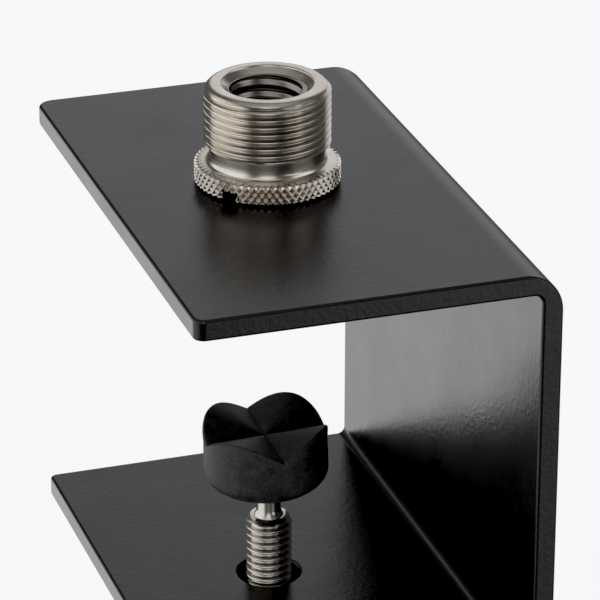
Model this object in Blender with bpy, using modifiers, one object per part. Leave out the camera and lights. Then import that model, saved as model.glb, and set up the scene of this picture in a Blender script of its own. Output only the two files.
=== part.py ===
"""Headphone hook on a desk clamp, with a microphone-stand thread on its top plate.

Metres, +Z up. The origin is on the underside of the jaw pad, where the desk's top face sits, at the
bracket's mid-width and in line with the thread adapter. +X points away from the desk, towards the user.
"""

import math

import bmesh
import bpy
from mathutils import Matrix, Vector

# Fits and mesh fineness
GAP = 0.0003
TURN_STEPS = 32
ARC_STEPS = 6
HEX = 6

# Bracket: one strip of sheet steel bent into a C that opens towards -X
SHEET = 0.0027
BRACKET_WIDTH = 0.0716
FREE_END_X = -0.0207
ARM_END_X = -0.0202
BACK_X = 0.0247
OPENING = 0.0519
OUTER_BEND = 0.0050
INNER_BEND = 0.0010
TOP_CORNER = 0.0024
ARM_CORNER = 0.0008
ARRIS = 0.00045

# Jaw pad: thin rubber under the top plate
JAW_PAD_THICK = 0.0012
JAW_PAD_INSET = 0.0045
JAW_PAD_CORNER = 0.0040

# Heights that follow from the pad and the sheet
PLATE_BOTTOM_Z = JAW_PAD_THICK + GAP
PLATE_TOP_Z = PLATE_BOTTOM_Z + SHEET
ARM_TOP_Z = PLATE_BOTTOM_Z - OPENING
ARM_BOTTOM_Z = ARM_TOP_Z - SHEET

# Thread adapter: 5/8 in-27 outside, 3/8 in-16 inside, drawn at the threads' major diameters
ADAPTER_XY = (0.0, 0.0017)
THREAD_R = 0.0079
ADAPTER_HEIGHT = 0.0129
ADAPTER_TOP_R = 0.00735
UNDERCUT_R = 0.0072
UNDERCUT_TOP = 0.0050
FLANGE_R = 0.0091
FLANGE_HEIGHT = 0.0027
BORE_R = 0.00476
BORE_MOUTH_R = 0.0057
SLOT_WIDTH = 0.0020
SLOT_DEPTH = 0.0015
SLOT_ANGLE = math.radians(220.5)

# Threaded stud: pressed into the top plate, with its head flush in the underside
STUD_R = BORE_R - GAP
STUD_HEIGHT = 0.0075
STUD_HEAD_R = 0.0064
STUD_HEAD_THICK = 0.0018

# Clamp screw: M6 with a plain neck that holds the pressure pad
SCREW_XY = (-0.0002, 0.0007)
SCREW_R = 0.00297
NECK_R = 0.0016
NECK_LOW_Z = -0.0414
COLLAR_R = 0.0029
COLLAR_LOW_Z = -0.0360
COLLAR_HIGH_Z = -0.0349
HEAD_HIGH_Z = -0.0882
HEAD_THICK = 0.0040
HEAD_FLATS = 0.0100
ARM_HOLE_R = 0.00405

# Weld nut under the lower arm
NUT_FLATS = 0.0110
NUT_HEIGHT = 0.0050
NUT_PILOT_R = ARM_HOLE_R - GAP
NUT_PILOT_HEIGHT = 0.0008

# Pressure pad: rubber, with two crossing valleys across its top
PAD_R = 0.0080
PAD_VALLEY_Z = -0.03035
PAD_RISE = 0.0024
PAD_BOTTOM_Z = -0.0377
PAD_EDGE = 0.0022
PAD_LEDGE_Z = -0.0363
PAD_SEAT_Z = -0.0346
PAD_CEILING_Z = -0.0328
PAD_HOLE_R = 0.0023
PAD_POCKET_R = COLLAR_R + 2 * GAP
DISC_R = 0.0051

# Knob: six lobes around the screw's hexagon head, closed below by a cap
KNOB_R = 0.0150
KNOB_LOBE = 0.0022
KNOB_LOBES = 6
KNOB_HUB_R = 0.0075
KNOB_TOP_Z = -0.0846
KNOB_BODY_TOP_Z = -0.0876
KNOB_BOTTOM_Z = -0.0986
CAP_R = 0.0068
CAP_THICK = 0.0022

# Hook: a narrower strip fastened to the back plate, bent out to a shelf and up to a lip
HOOK_SHEET = 0.0025
HOOK_WIDTH = 0.0300
HOOK_TOP_Z = -0.0085
SHELF_TOP_Z = -0.0763
SHELF_END_X = 0.0660
LIP_LENGTH = 0.0170
LIP_TILT = math.radians(15)
HOOK_CORNER = 0.0060
SLEEVE_WALL = 0.0015
SLEEVE_START_X = 0.0345

# Fasteners that hold the hook: two M4 weld studs, washers and nuts
HOOK_STUD_HEIGHTS = {"upper": -0.0170, "lower": -0.0430}
HOOK_STUD_R = 0.0020
HOOK_STUD_LENGTH = 0.0080
HOOK_STUD_BASE_R = 0.0028
HOOK_STUD_BASE_THICK = 0.0008
WASHER_R = 0.0045
WASHER_THICK = 0.0008
HOOK_NUT_FLATS = 0.0070
HOOK_NUT_HEIGHT = 0.0032

HOOK_BACK_X = BACK_X + GAP
HOOK_FRONT_X = HOOK_BACK_X + HOOK_SHEET


def clear_scene():
    for item in list(bpy.data.objects):
        bpy.data.objects.remove(item, do_unlink=True)


def new_collection(name):
    collection = bpy.data.collections.new(name)
    bpy.context.scene.collection.children.link(collection)
    return collection


def new_material(name, colour, roughness, metallic=0.0):
    material = bpy.data.materials.new(name)
    material.use_nodes = True
    shader = material.node_tree.nodes["Principled BSDF"]
    shader.inputs["Base Color"].default_value = (*colour, 1.0)
    shader.inputs["Roughness"].default_value = roughness
    shader.inputs["Metallic"].default_value = metallic
    return material


def place(name, mesh, collection, material=None, location=(0, 0, 0), rotation=(0, 0, 0)):
    item = bpy.data.objects.new(name, mesh)
    item.location = location
    item.rotation_euler = rotation
    if material:
        mesh.materials.append(material)
    collection.objects.link(item)
    return item


def as_mesh(item):
    """The item's evaluated mesh, and the item removed."""
    depsgraph = bpy.context.evaluated_depsgraph_get()
    mesh = bpy.data.meshes.new_from_object(item.evaluated_get(depsgraph))
    mesh.name = item.name
    bpy.data.objects.remove(item, do_unlink=True)
    return mesh


def arc(centre, radius, start, end, steps=ARC_STEPS):
    angles = [start + (end - start) * i / steps for i in range(steps + 1)]
    return [(centre[0] + radius * math.cos(a), centre[1] + radius * math.sin(a)) for a in angles]


def rounded_rectangle(low, high, radius):
    quarter = math.pi / 2
    corners = [
        (high[0] - radius, high[1] - radius),
        (low[0] + radius, high[1] - radius),
        (low[0] + radius, low[1] + radius),
        (high[0] - radius, low[1] + radius),
    ]
    points = []
    for index, corner in enumerate(corners):
        points += arc(corner, radius, index * quarter, (index + 1) * quarter)
    return points


def bent_sheet(route, outer_radius, turn, thickness, outside=0.0, hollow=None):
    """Closed outline of a sheet whose outer face follows the route's straight runs.

    Every bend turns the same way, +1 to the left and -1 to the right. With outside above zero the
    outline grows by that much on both faces and past its last end. A hollow radius makes the inside
    of each bend tighter than the sheet's thickness would.
    """
    points = [Vector(p) for p in route]
    runs = [(b - a).normalized() for a, b in zip(points, points[1:])]
    inward = [Vector((-run.y, run.x)) * turn for run in runs]
    outer = [points[0] - inward[0] * outside]
    inner = [points[0] + inward[0] * (thickness + outside)]
    virtual = outer_radius if hollow is None else thickness + hollow
    for corner, run, follow, side in zip(points[1:], runs, runs[1:], inward):
        bend = turn * run.angle(follow)
        slope = math.tan(abs(bend) / 2)
        start = math.atan2(-side.y, -side.x)
        centre = corner - run * outer_radius * slope + side * outer_radius
        outer += arc(centre, outer_radius + outside, start, start + bend)
        centre = corner - run * virtual * slope + side * virtual
        inner += arc(centre, virtual - thickness - outside, start, start + bend)
    end = points[-1] + runs[-1] * outside
    outer.append(end - inward[-1] * outside)
    inner.append(end + inward[-1] * (thickness + outside))
    return [tuple(p) for p in outer] + [tuple(p) for p in reversed(inner)]


def extruded(name, outline, depth, collection):
    """Mesh of a flat outline in XY, made `depth` thick about its plane."""
    curve = bpy.data.curves.new(name, "CURVE")
    curve.dimensions = "2D"
    curve.fill_mode = "BOTH"
    curve.extrude = depth / 2
    spline = curve.splines.new("POLY")
    spline.points.add(len(outline) - 1)
    for point, place_xy in zip(spline.points, outline):
        point.co = (*place_xy, 0, 1)
    spline.use_cyclic_u = True
    mesh = as_mesh(place(name, curve, collection))
    weld = bmesh.new()
    weld.from_mesh(mesh)
    bmesh.ops.remove_doubles(weld, verts=weld.verts, dist=1e-6)
    bmesh.ops.dissolve_limit(weld, angle_limit=math.radians(1), verts=weld.verts, edges=weld.edges)
    weld.to_mesh(mesh)
    weld.free()
    return mesh


def standing(mesh):
    """Turns a mesh drawn in XY so that its outline stands in XZ."""
    mesh.transform(Matrix.Rotation(math.pi / 2, 4, "X"))
    return mesh


def round_corners(mesh, direction, wanted, radius):
    """Rounds the sharp edges along a direction whose middle passes the wanted test."""
    rounding = bmesh.new()
    rounding.from_mesh(mesh)
    chosen = []
    for edge in rounding.edges:
        run = (edge.verts[0].co - edge.verts[1].co).normalized()
        middle = (edge.verts[0].co + edge.verts[1].co) / 2
        if abs(run.dot(direction)) > 0.999 and wanted(middle):
            chosen.append(edge)
    bmesh.ops.bevel(
        rounding, geom=chosen, offset=radius, segments=ARC_STEPS, profile=0.5, affect="EDGES"
    )
    rounding.to_mesh(mesh)
    rounding.free()


def turned(name, profile, collection, ring=False):
    """Mesh of a profile of (radius, height) points turned about Z; its outer side runs downwards."""
    outline = bmesh.new()
    corners = [outline.verts.new((radius, 0, height)) for radius, height in profile]
    following = corners[1:] + corners[:1] if ring else corners[1:]
    for first, second in zip(corners, following):
        outline.edges.new((first, second))
    mesh = bpy.data.meshes.new(name)
    outline.to_mesh(mesh)
    outline.free()
    item = place(name, mesh, collection)
    screw = item.modifiers.new("Turn", "SCREW")
    screw.steps = TURN_STEPS
    screw.render_steps = TURN_STEPS
    screw.use_merge_vertices = True
    screw.merge_threshold = 1e-5
    return as_mesh(item)


def prism(name, radius, low, high, sides=TURN_STEPS):
    """Closed upright cylinder or polygon prism between two heights."""
    solid = bmesh.new()
    bmesh.ops.create_cone(
        solid, cap_ends=True, segments=sides, radius1=radius, radius2=radius, depth=high - low
    )
    bmesh.ops.translate(solid, verts=solid.verts, vec=(0, 0, (low + high) / 2))
    mesh = bpy.data.meshes.new(name)
    solid.to_mesh(mesh)
    solid.free()
    return mesh


def hexagon(name, flats, low, high):
    return prism(name, flats / 2 / math.cos(math.pi / HEX), low, high, HEX)


def box(name, size):
    solid = bmesh.new()
    bmesh.ops.create_cube(solid, size=1.0)
    bmesh.ops.scale(solid, vec=size, verts=solid.verts)
    mesh = bpy.data.meshes.new(name)
    solid.to_mesh(mesh)
    solid.free()
    return mesh


def tool(name, mesh, cutters, location=(0, 0, 0), rotation=(0, 0, 0)):
    cutter = place(name, mesh, cutters, location=location, rotation=rotation)
    cutter.hide_render = True
    cutter.display_type = "WIRE"
    return cutter


def combine(item, cutter, operation="DIFFERENCE"):
    modifier = item.modifiers.new(cutter.name, "BOOLEAN")
    modifier.operation = operation
    modifier.solver = "EXACT"
    modifier.object = cutter


def soften(item, width, segments=2):
    modifier = item.modifiers.new("Soft edges", "BEVEL")
    modifier.width = width
    modifier.segments = segments
    modifier.limit_method = "ANGLE"
    modifier.angle_limit = math.radians(40)


def smooth(item):
    item.data.shade_smooth()
    item.data.set_sharp_from_angle(angle=math.radians(35))


def make_bracket(parts, cutters, paint):
    route = [
        (FREE_END_X, PLATE_TOP_Z),
        (BACK_X, PLATE_TOP_Z),
        (BACK_X, ARM_BOTTOM_Z),
        (ARM_END_X, ARM_BOTTOM_Z),
    ]
    outline = bent_sheet(route, OUTER_BEND, -1, SHEET, hollow=INNER_BEND)
    mesh = standing(extruded("bracket", outline, BRACKET_WIDTH, parts))
    middle_z = (PLATE_TOP_Z + ARM_BOTTOM_Z) / 2
    upright = Vector((0, 0, 1))
    at_end = FREE_END_X + SHEET
    round_corners(mesh, upright, lambda p: p.x < at_end and p.z > middle_z, TOP_CORNER)
    round_corners(mesh, upright, lambda p: p.x < at_end and p.z < middle_z, ARM_CORNER)
    bracket = place("bracket", mesh, parts, paint)
    head_seat = tool(
        "stud_head_seat",
        prism("stud_head_seat", STUD_HEAD_R + GAP, -SHEET, STUD_HEAD_THICK + GAP),
        cutters,
        (*ADAPTER_XY, PLATE_BOTTOM_Z),
    )
    stud_hole = tool(
        "stud_hole", prism("stud_hole", BORE_R, -SHEET, 2 * SHEET), cutters, (*ADAPTER_XY, PLATE_BOTTOM_Z)
    )
    screw_hole = tool(
        "screw_hole", prism("screw_hole", ARM_HOLE_R, -SHEET, 2 * SHEET), cutters, (*SCREW_XY, ARM_BOTTOM_Z)
    )
    for cutter in (head_seat, stud_hole, screw_hole):
        combine(bracket, cutter)
    soften(bracket, ARRIS)


def make_jaw_pad(parts, rubber):
    low = (FREE_END_X + JAW_PAD_INSET, -BRACKET_WIDTH / 2 + JAW_PAD_INSET)
    high = (BACK_X - OUTER_BEND - GAP, BRACKET_WIDTH / 2 - JAW_PAD_INSET)
    mesh = extruded("jaw_pad", rounded_rectangle(low, high, JAW_PAD_CORNER), JAW_PAD_THICK, parts)
    place("jaw_pad", mesh, parts, rubber, (0, 0, JAW_PAD_THICK / 2))


def make_threaded_stud(parts, steel):
    top = SHEET + STUD_HEIGHT
    tip = 0.0008
    profile = [
        (0, top),
        (STUD_R - tip, top),
        (STUD_R, top - tip),
        (STUD_R, STUD_HEAD_THICK),
        (STUD_HEAD_R, STUD_HEAD_THICK),
        (STUD_HEAD_R, 0),
        (0, 0),
    ]
    mesh = turned("threaded_stud", profile, parts)
    smooth(place("threaded_stud", mesh, parts, steel, (*ADAPTER_XY, PLATE_BOTTOM_Z)))


def make_thread_adapter(parts, cutters, nickel):
    edge = 0.0002
    chamfer = THREAD_R - ADAPTER_TOP_R
    flare = 0.0004
    profile = [
        (BORE_MOUTH_R, ADAPTER_HEIGHT),
        (ADAPTER_TOP_R, ADAPTER_HEIGHT),
        (THREAD_R, ADAPTER_HEIGHT - chamfer),
        (THREAD_R, UNDERCUT_TOP),
        (UNDERCUT_R, UNDERCUT_TOP - flare),
        (UNDERCUT_R, FLANGE_HEIGHT + flare),
        (UNDERCUT_R + flare, FLANGE_HEIGHT),
        (FLANGE_R - edge, FLANGE_HEIGHT),
        (FLANGE_R, FLANGE_HEIGHT - edge),
        (FLANGE_R, GAP + edge),
        (FLANGE_R - edge, GAP),
        (BORE_R, GAP),
        (BORE_R, ADAPTER_HEIGHT - (BORE_MOUTH_R - BORE_R)),
    ]
    mesh = turned("thread_adapter", profile, parts, ring=True)
    adapter = place("thread_adapter", mesh, parts, nickel, (*ADAPTER_XY, PLATE_TOP_Z))
    smooth(adapter)
    slot = tool(
        "coin_slot",
        box("coin_slot", (3 * FLANGE_R, SLOT_WIDTH, 2 * SLOT_DEPTH)),
        cutters,
        (*ADAPTER_XY, PLATE_TOP_Z),
        (0, 0, SLOT_ANGLE),
    )
    combine(adapter, slot)


def make_weld_nut(parts, cutters, steel):
    mesh = hexagon("weld_nut", NUT_FLATS, -NUT_HEIGHT, 0)
    place_xyz = (*SCREW_XY, ARM_BOTTOM_Z - GAP)
    nut = place("weld_nut", mesh, parts, steel, place_xyz)
    pilot = prism("nut_pilot", NUT_PILOT_R, -NUT_HEIGHT / 2, NUT_PILOT_HEIGHT)
    combine(nut, tool("nut_pilot", pilot, cutters, place_xyz), "UNION")
    bore = prism("nut_bore", SCREW_R + GAP, -2 * NUT_HEIGHT, NUT_HEIGHT)
    combine(nut, tool("nut_bore", bore, cutters, place_xyz))


def make_clamp_screw(parts, cutters, nickel):
    chamfer = SCREW_R - NECK_R
    profile = [
        (0, COLLAR_HIGH_Z),
        (COLLAR_R, COLLAR_HIGH_Z),
        (COLLAR_R, COLLAR_LOW_Z),
        (NECK_R, COLLAR_LOW_Z),
        (NECK_R, NECK_LOW_Z),
        (SCREW_R, NECK_LOW_Z - chamfer),
        (SCREW_R, HEAD_HIGH_Z),
        (0, HEAD_HIGH_Z),
    ]
    mesh = turned("clamp_screw", profile, parts)
    screw = place("clamp_screw", mesh, parts, nickel, (*SCREW_XY, 0))
    smooth(screw)
    head = hexagon("screw_head", HEAD_FLATS, HEAD_HIGH_Z - HEAD_THICK, HEAD_HIGH_Z + GAP)
    combine(screw, tool("screw_head", head, cutters, (*SCREW_XY, 0)), "UNION")


def make_pressure_pad(parts, rubber):
    """Turned pad whose top is then raised between two level valleys that cross at its middle."""
    rings = 5
    top = [(PAD_R * i / rings, PAD_VALLEY_Z) for i in range(rings + 1)]
    corner = (PAD_R - PAD_EDGE, PAD_BOTTOM_Z + PAD_EDGE)
    profile = top + arc(corner, PAD_EDGE, 0, -math.pi / 2) + [
        (PAD_HOLE_R, PAD_BOTTOM_Z),
        (PAD_HOLE_R, PAD_LEDGE_Z),
        (PAD_POCKET_R, PAD_LEDGE_Z),
        (PAD_POCKET_R, PAD_SEAT_Z),
        (DISC_R + GAP, PAD_SEAT_Z),
        (DISC_R + GAP, PAD_CEILING_Z),
        (0, PAD_CEILING_Z),
    ]
    mesh = turned("pressure_pad", profile, parts)
    for vertex in mesh.vertices:
        if abs(vertex.co.z - PAD_VALLEY_Z) < 1e-6:
            x, y = vertex.co.x, vertex.co.y
            radius = math.hypot(x, y)
            if radius > 0:
                vertex.co.z += PAD_RISE * abs(2 * x * y) / (radius * PAD_R)
    smooth(place("pressure_pad", mesh, parts, rubber, (*SCREW_XY, 0)))


def make_thrust_disc(parts, steel):
    mesh = prism("thrust_disc", DISC_R, PAD_SEAT_Z + GAP, PAD_CEILING_Z - GAP)
    place("thrust_disc", mesh, parts, steel, (*SCREW_XY, 0))


def make_knob(parts, cutters, plastic):
    count = KNOB_LOBES * 10
    outline = []
    for step in range(count):
        angle = 2 * math.pi * step / count
        radius = KNOB_R - KNOB_LOBE * (1 - math.cos(KNOB_LOBES * angle)) / 2
        outline.append((radius * math.cos(angle), radius * math.sin(angle)))
    height = KNOB_BODY_TOP_Z - KNOB_BOTTOM_Z
    mesh = extruded("clamp_knob", outline, height, parts)
    mesh.transform(Matrix.Translation((0, 0, KNOB_BOTTOM_Z + height / 2)))
    knob = place("clamp_knob", mesh, parts, plastic, (*SCREW_XY, 0))
    soften(knob, 0.0012)
    hub = prism("knob_hub", KNOB_HUB_R, KNOB_BODY_TOP_Z - GAP, KNOB_TOP_Z)
    combine(knob, tool("knob_hub", hub, cutters, (*SCREW_XY, 0)), "UNION")
    cap_top = KNOB_BOTTOM_Z + CAP_THICK + GAP
    pocket = hexagon("knob_pocket", HEAD_FLATS + 2 * GAP, cap_top - GAP, HEAD_HIGH_Z + GAP)
    hole = prism("knob_hole", SCREW_R + GAP, cap_top, KNOB_TOP_Z + SHEET)
    seat = prism("knob_cap_seat", CAP_R + GAP, KNOB_BOTTOM_Z - SHEET, cap_top)
    for name, cut in (("knob_pocket", pocket), ("knob_hole", hole), ("knob_cap_seat", seat)):
        combine(knob, tool(name, cut, cutters, (*SCREW_XY, 0)))


def make_knob_cap(parts, plastic):
    edge = 0.0004
    low = KNOB_BOTTOM_Z + GAP
    profile = [
        (0, low + CAP_THICK - GAP),
        (CAP_R, low + CAP_THICK - GAP),
        (CAP_R, low + edge),
        (CAP_R - edge, low),
        (0, low),
    ]
    mesh = turned("knob_cap", profile, parts)
    smooth(place("knob_cap", mesh, parts, plastic, (*SCREW_XY, 0)))


def hook_route():
    """The hook's outer face: down the back plate, out along the shelf and up the tilted lip."""
    shelf_low = SHELF_TOP_Z - HOOK_SHEET
    lip_x = SHELF_END_X + LIP_LENGTH * math.sin(LIP_TILT)
    return [
        (HOOK_BACK_X, HOOK_TOP_Z),
        (HOOK_BACK_X, shelf_low),
        (SHELF_END_X, shelf_low),
        (lip_x, shelf_low + LIP_LENGTH * math.cos(LIP_TILT)),
    ]


def make_hook(parts, cutters, paint):
    route = hook_route()
    outline = bent_sheet(route, OUTER_BEND, 1, HOOK_SHEET)
    mesh = standing(extruded("hook", outline, HOOK_WIDTH, parts))
    lip_normal = Vector((math.cos(LIP_TILT), 0, -math.sin(LIP_TILT)))
    lip_top = route[-1][1] - HOOK_SHEET
    round_corners(mesh, Vector((1, 0, 0)), lambda p: p.z > HOOK_TOP_Z - HOOK_SHEET, HOOK_CORNER)
    round_corners(mesh, lip_normal, lambda p: p.x > SHELF_END_X and p.z > lip_top, HOOK_CORNER)
    hook = place("hook", mesh, parts, paint)
    for level, height in HOOK_STUD_HEIGHTS.items():
        name = f"hook_hole_{level}"
        hole = prism(name, HOOK_STUD_BASE_R + GAP, -HOOK_SHEET, 2 * HOOK_SHEET)
        where = (HOOK_BACK_X, SCREW_XY[1], height)
        combine(hook, tool(name, hole, cutters, where, (0, math.pi / 2, 0)))
    soften(hook, ARRIS)


def make_hook_sleeve(parts, cutters, rubber):
    """Rubber sleeve slipped over the shelf and the lip, hollow for the strip and closed at the lip's end."""
    route = hook_route()
    shelf = [(SLEEVE_START_X, route[1][1]), *route[2:]]
    skin = bent_sheet(shelf, OUTER_BEND, 1, HOOK_SHEET, GAP + SLEEVE_WALL)
    width = HOOK_WIDTH + 2 * (GAP + SLEEVE_WALL)
    mesh = standing(extruded("hook_sleeve", skin, width, parts))
    lip_normal = Vector((math.cos(LIP_TILT), 0, -math.sin(LIP_TILT)))
    lip_top = route[-1][1] - HOOK_SHEET
    corner = HOOK_CORNER + SLEEVE_WALL
    round_corners(mesh, lip_normal, lambda p: p.x > SHELF_END_X and p.z > lip_top, corner)
    sleeve = place("hook_sleeve", mesh, parts, rubber)
    soften(sleeve, ARRIS)
    inside_route = [(SLEEVE_START_X - SHEET, route[1][1]), *route[2:]]
    hollow = bent_sheet(inside_route, OUTER_BEND, 1, HOOK_SHEET, GAP)
    cutter = standing(extruded("sleeve_hollow", hollow, HOOK_WIDTH + 2 * GAP, cutters))
    round_corners(cutter, lip_normal, lambda p: p.x > SHELF_END_X and p.z > lip_top, HOOK_CORNER)
    combine(sleeve, tool("sleeve_hollow", cutter, cutters))


def make_hook_fasteners(parts, cutters, steel):
    """Each weld stud lies along +X from the back plate, through the hook's hole, a washer and a nut."""
    base = HOOK_STUD_BASE_THICK
    stud_profile = [
        (0, HOOK_STUD_LENGTH),
        (HOOK_STUD_R, HOOK_STUD_LENGTH),
        (HOOK_STUD_R, base),
        (HOOK_STUD_BASE_R, base),
        (HOOK_STUD_BASE_R, 0),
        (0, 0),
    ]
    washer_low = HOOK_SHEET + GAP
    nut_low = washer_low + WASHER_THICK + GAP
    along_x = (0, math.pi / 2, 0)
    for level, height in HOOK_STUD_HEIGHTS.items():
        where = (HOOK_BACK_X, SCREW_XY[1], height)
        stud = turned(f"weld_stud_{level}", stud_profile, parts)
        smooth(place(f"weld_stud_{level}", stud, parts, steel, where, along_x))
        name = f"fastener_bore_{level}"
        bore = tool(name, prism(name, HOOK_STUD_R + GAP, 0, 0.02), cutters, where, along_x)
        washer = prism(f"hook_washer_{level}", WASHER_R, washer_low, washer_low + WASHER_THICK)
        nut = hexagon(f"hook_nut_{level}", HOOK_NUT_FLATS, nut_low, nut_low + HOOK_NUT_HEIGHT)
        for mesh in (washer, nut):
            combine(place(mesh.name, mesh, parts, steel, where, along_x), bore)


def main():
    clear_scene()
    parts = new_collection("headphone_hook")
    cutters = new_collection("cutters")
    paint = new_material("black_powder_coat", (0.018, 0.018, 0.020), 0.42)
    rubber = new_material("black_rubber", (0.020, 0.020, 0.021), 0.75)
    plastic = new_material("black_plastic", (0.022, 0.022, 0.024), 0.50)
    nickel = new_material("satin_nickel", (0.62, 0.57, 0.50), 0.28, 1.0)
    steel = new_material("zinc_steel", (0.55, 0.56, 0.58), 0.38, 1.0)
    make_bracket(parts, cutters, paint)
    make_jaw_pad(parts, rubber)
    make_threaded_stud(parts, steel)
    make_thread_adapter(parts, cutters, nickel)
    make_weld_nut(parts, cutters, steel)
    make_clamp_screw(parts, cutters, nickel)
    make_pressure_pad(parts, rubber)
    make_thrust_disc(parts, steel)
    make_knob(parts, cutters, plastic)
    make_knob_cap(parts, plastic)
    make_hook(parts, cutters, paint)
    make_hook_sleeve(parts, cutters, rubber)
    make_hook_fasteners(parts, cutters, steel)


main()
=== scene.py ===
"""Looks of the desk-clamp headphone hook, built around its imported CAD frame. Metres, +Z up."""
import math

import bmesh
import bpy
import numpy as np
from mathutils import Matrix, Quaternion, Vector


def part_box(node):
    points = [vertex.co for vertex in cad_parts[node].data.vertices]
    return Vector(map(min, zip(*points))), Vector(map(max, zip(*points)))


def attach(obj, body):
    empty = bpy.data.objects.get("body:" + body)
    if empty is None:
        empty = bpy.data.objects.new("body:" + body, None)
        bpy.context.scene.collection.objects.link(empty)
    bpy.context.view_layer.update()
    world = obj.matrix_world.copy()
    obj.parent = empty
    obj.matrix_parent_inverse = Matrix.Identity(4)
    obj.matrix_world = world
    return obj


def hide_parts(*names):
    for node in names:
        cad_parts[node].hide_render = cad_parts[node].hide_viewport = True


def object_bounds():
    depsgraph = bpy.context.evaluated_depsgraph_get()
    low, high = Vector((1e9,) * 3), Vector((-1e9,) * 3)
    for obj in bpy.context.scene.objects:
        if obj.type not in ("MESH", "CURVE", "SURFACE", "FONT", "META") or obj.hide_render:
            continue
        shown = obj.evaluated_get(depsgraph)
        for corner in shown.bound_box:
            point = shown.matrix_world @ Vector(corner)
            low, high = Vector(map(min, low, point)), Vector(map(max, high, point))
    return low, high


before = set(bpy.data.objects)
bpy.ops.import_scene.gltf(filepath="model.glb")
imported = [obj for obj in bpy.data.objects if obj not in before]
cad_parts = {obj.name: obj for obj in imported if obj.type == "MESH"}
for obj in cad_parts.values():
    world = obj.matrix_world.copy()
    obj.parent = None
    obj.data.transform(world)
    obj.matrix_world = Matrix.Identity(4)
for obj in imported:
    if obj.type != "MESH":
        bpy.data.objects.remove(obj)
cad_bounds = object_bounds()

# Camera: where it looks, and from where
CAMERA_TARGET = (0.0019, -0.0055, -0.0094)
CAMERA_AZIMUTH = math.radians(-18.32)
CAMERA_ELEVATION = math.radians(24.68)
CAMERA_ROLL = math.radians(0.16)
CAMERA_DISTANCE = 0.4836
CAMERA_LENS = 234.2
CAMERA_SENSOR = 36.0

# Bracket; BEND_HOLLOW is the inner radius of its bends, and the corners are those of its free ends
SHEET = 0.0027
BEND_RADIUS = 0.0050
BEND_HOLLOW = 0.0010
TOP_CORNER = 0.0021
FRONT_CORNER = 0.0014
ARM_CORNER = 0.0009
ARRIS = 0.00055
ARM_SETBACK = 0.0005
ARM_HOLE_R = 0.00405
JAW_PAD_CORNER = 0.0040
JAW_PAD_ARRIS = 0.00025

# Thread adapter: 5/8 in-27 outside, 3/8 in-16 inside
OUTER_R = 0.0079
OUTER_PITCH = 0.0254 / 27
INNER_R = 0.00476
INNER_PITCH = 0.0254 / 16
ADAPTER_TOP_R = 0.00735
BORE_MOUTH_R = 0.0057
BORE_MOUTH_DEPTH = 0.00085
BORE_EDGE = 0.00014
# How much the adapter's colour is darkened inside its bore: painted shade.
BORE_PAINTED_SHADE = 0.42
UNDERCUT_R = 0.0072
UNDERCUT_TOP = 0.0050
FLANGE_R = 0.0091
FLANGE_HEIGHT = 0.0027
KNURLS = 61
KNURL_STEPS = 6
KNURL_ROWS = 10
KNURL_DEPTH = 0.00038
KNURL_SLOPE = 1.7
KNURL_TOP_EDGE = 0.00014
KNURL_LOW_EDGE = 0.00038
INNER_DEPTH = 0.00042
SLOT_WIDTH = 0.0020
SLOT_DEPTH = 0.0015
SLOT_ANGLE = math.radians(220.5)

# Screws: M6 clamp screw and M4 weld studs. THREAD_DEPTH is a share of the pitch, and so are the
# half widths of the crest and of the flank
M6_R = 0.00297
M6_PITCH = 0.0010
M4_R = 0.0020
M4_PITCH = 0.0007
THREAD_DEPTH = 0.60
THREAD_CREST = 0.055
THREAD_FLANK = 0.335
NECK_R = 0.00155
NECK_LOW_Z = -0.0420
TIP_R = 0.0029
TIP_LOW_Z = -0.0358
SCREW_HEAD_HEIGHT = 0.0040
SCREW_HEAD_FLATS = 0.0100
WELD_NUT_FLATS = 0.0110
WELD_NUT_HEIGHT = 0.0053
WELD_NUT_PILOT = 0.0008
WELD_NUT_PILOT_R = 0.0038
STUD_HEAD_HEIGHT = 0.0018
STUD_TIP = 0.0009

# Pressure pad: RISE of its four lobes over the valleys, DROP of its middle below its box, and EDGE_IN by
# EDGE for the rounding of its underside
PAD_RISE = 0.0024
PAD_DROP = 0.0002
PAD_ROUNDING = 0.0005
PAD_EDGE = 0.0024
PAD_EDGE_IN = 0.0037
PAD_LIFT = 0.00035
PAD_TAPER = 0.0001
PAD_HOLE_R = 0.0024
PAD_SHELF_R = 0.0035
PAD_DISC_R = 0.0054
PAD_SHELF = 0.0014
PAD_DISC_LOW = 0.0031
PAD_DISC_HIGH = 0.0049
PAD_LEAN = (math.radians(1.6), math.radians(-1.7))
PAD_SHIFT = 0.0003

# Knob: LOBE is the depth between lobes at the side
KNOB_LOBES = 6
KNOB_LOBE = 0.0022
KNOB_LOBE_POWER = 1.15
KNOB_ROUNDING = 0.0018
KNOB_HUB_R = 0.0075
KNOB_HUB = 0.0030
KNOB_SEAM_Z = 0.0055

# Hook
HOOK_SHEET = 0.0025
LIP_TILT = math.radians(15)
LIP_LENGTH = 0.0166
SHELF_END_X = 0.0660
HOOK_CORNER = 0.0060
SLEEVE_INSIDE = 0.0300
SLEEVE_ARRIS = 0.0007
GROOVE_PITCH = 0.0026
GROOVE_WIDTH = 0.0008
GROOVE_DEPTH = 0.00035
GROOVE_FIRST = 0.0035
GROOVE_LAST = 0.0030
WASHER = 0.0008
WASHER_R = 0.0045
WASHER_HOLE_R = 0.00215
HOOK_NUT = 0.0032
HOOK_NUT_FLATS = 0.0070
NUT_TURNS = {"upper": 0.4, "lower": -0.25}

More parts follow.
